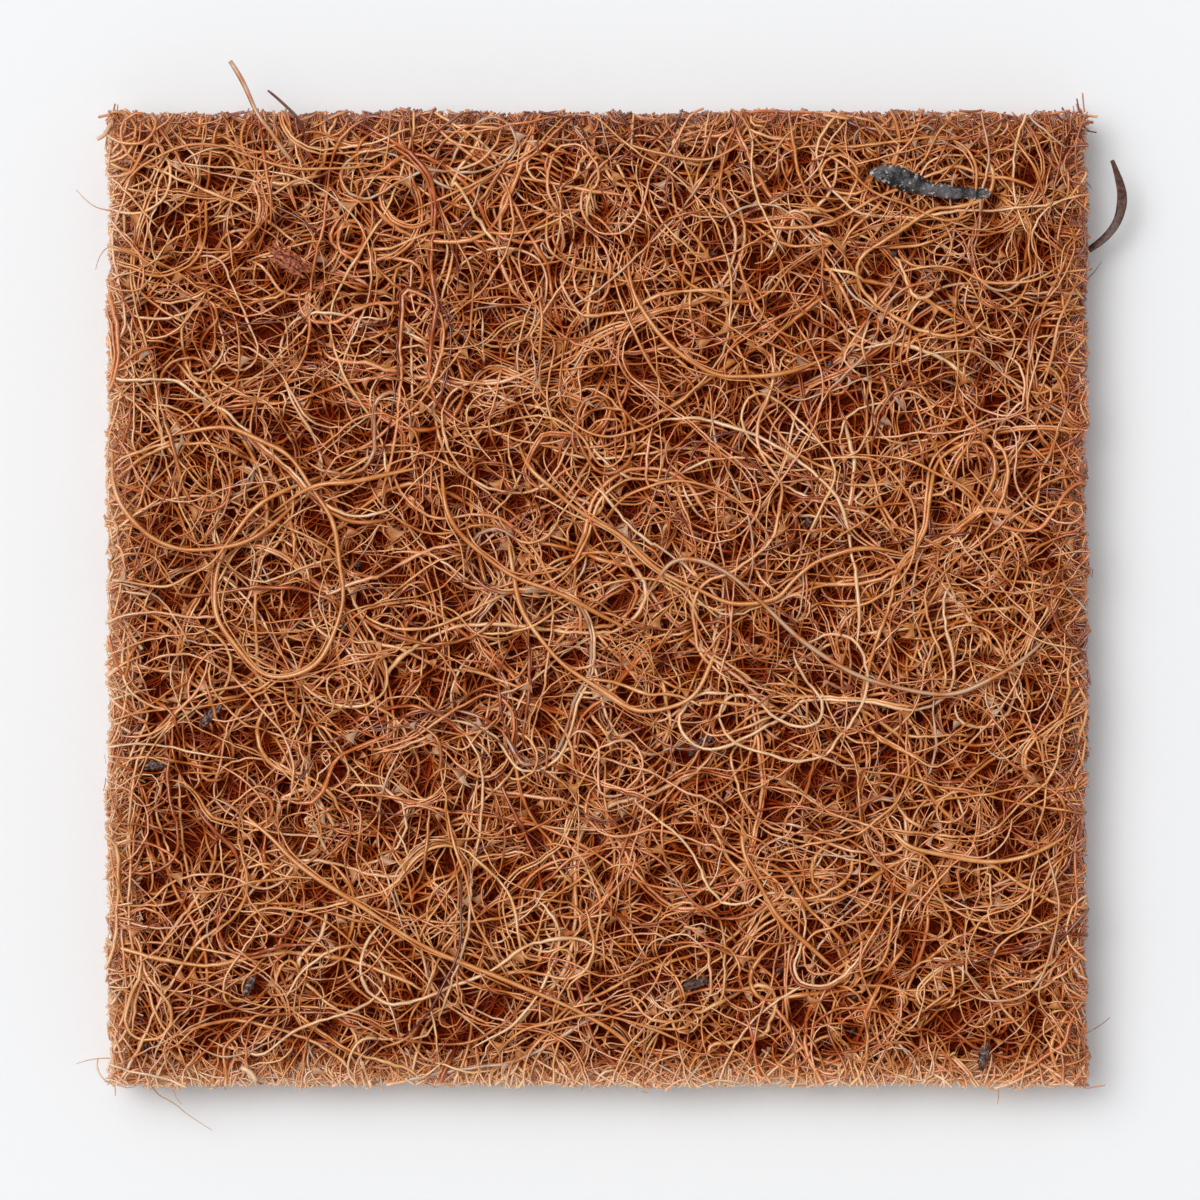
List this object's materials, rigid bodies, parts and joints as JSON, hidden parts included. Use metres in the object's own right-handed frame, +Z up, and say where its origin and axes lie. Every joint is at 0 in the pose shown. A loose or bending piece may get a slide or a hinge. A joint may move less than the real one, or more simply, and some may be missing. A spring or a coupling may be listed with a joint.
{
  "type": "coir fibre mat",
  "caption": "Square-cut springy mat of curled coconut fibre bonded with latex, with loose curled fibres on its open top face and ragged cut sides.",
  "frame": {"origin": "centre of the underside", "axes": "+Z up through the pad's thickness, +X along its 100 mm side, +Y along its 99.5 mm side"},
  "size_m": [0.1081, 0.1097, 0.0099],
  "materials": {
    "coir_batt": "dense tangle of dry brown coir under a thin latex binder",
    "brown_fibre": "orange-brown coir with a slight natural gloss",
    "dark_fibre": "dark red-brown coir, slightly glossy",
    "pale_fibre": "pale straw-coloured cut fibre ends, matt",
    "coated_fibre": "coir under a greyish coat of dried latex, satin",
    "bark": "near-black husk bark, glossy",
    "husk": "reddish-brown flat husk, satin",
    "latex": "thin translucent dried latex, satin",
    "pith": "dark crumb of coir pith, matt"
  },
  "bodies": {
    "root": {"bark_sliver": "bark", "base_ply": "coir_batt", "centre_arch_fibre": "brown_fibre", "centre_bowl_fibre": "brown_fibre", "centre_diagonal_fibre": "brown_fibre", "core_ply": "coir_batt", "corner_drop_fibre": "brown_fibre", "crown_dark_fibre": "dark_fibre", "crown_fibre": "brown_fibre", "edge_hairs": "pale_fibre", "face_ply": "coir_batt", "husk_chip": "husk", "husk_strip": "husk", "latex_films": "latex", "left_bowl_fibre": "brown_fibre", "left_hook_fibre": "brown_fibre", "left_low_fibre": "brown_fibre", "long_grey_fibre": "coated_fibre", "low_arch_fibre": "brown_fibre", "low_dark_fibre": "dark_fibre", "low_drop_fibre": "brown_fibre", "low_left_arch_fibre": "brown_fibre", "low_left_diagonal_fibre": "brown_fibre", "low_left_loop_fibre": "brown_fibre", "low_left_straw_fibre": "brown_fibre", "low_right_bowl_fibre": "brown_fibre", "low_right_grey_fibre": "coated_fibre", "low_right_long_fibre": "brown_fibre", "low_right_rake_fibre": "brown_fibre", "low_right_tail_fibre": "brown_fibre", "pith_specks": "pith", "right_arch_fibre": "brown_fibre", "right_bundle_fibre": "brown_fibre", "right_edge_fibre": "brown_fibre", "right_hem_fibre": "brown_fibre", "right_ring_fibre": "brown_fibre", "ring_fibre": "brown_fibre", "ring_lead_fibre": "brown_fibre", "stray_corner_fibre": "brown_fibre", "stray_dark_fibre": "dark_fibre", "stray_top_fibre": "brown_fibre", "top_rake_fibre": "brown_fibre", "top_wave_fibre": "brown_fibre", "twin_fibre_left": "brown_fibre", "twin_fibre_right": "brown_fibre", "under_bark_fibre": "brown_fibre", "upper_bowl_fibre": "brown_fibre", "upper_drop_fibre": "brown_fibre", "upper_hook_fibre": "brown_fibre"}
  },
  "joints": []
}
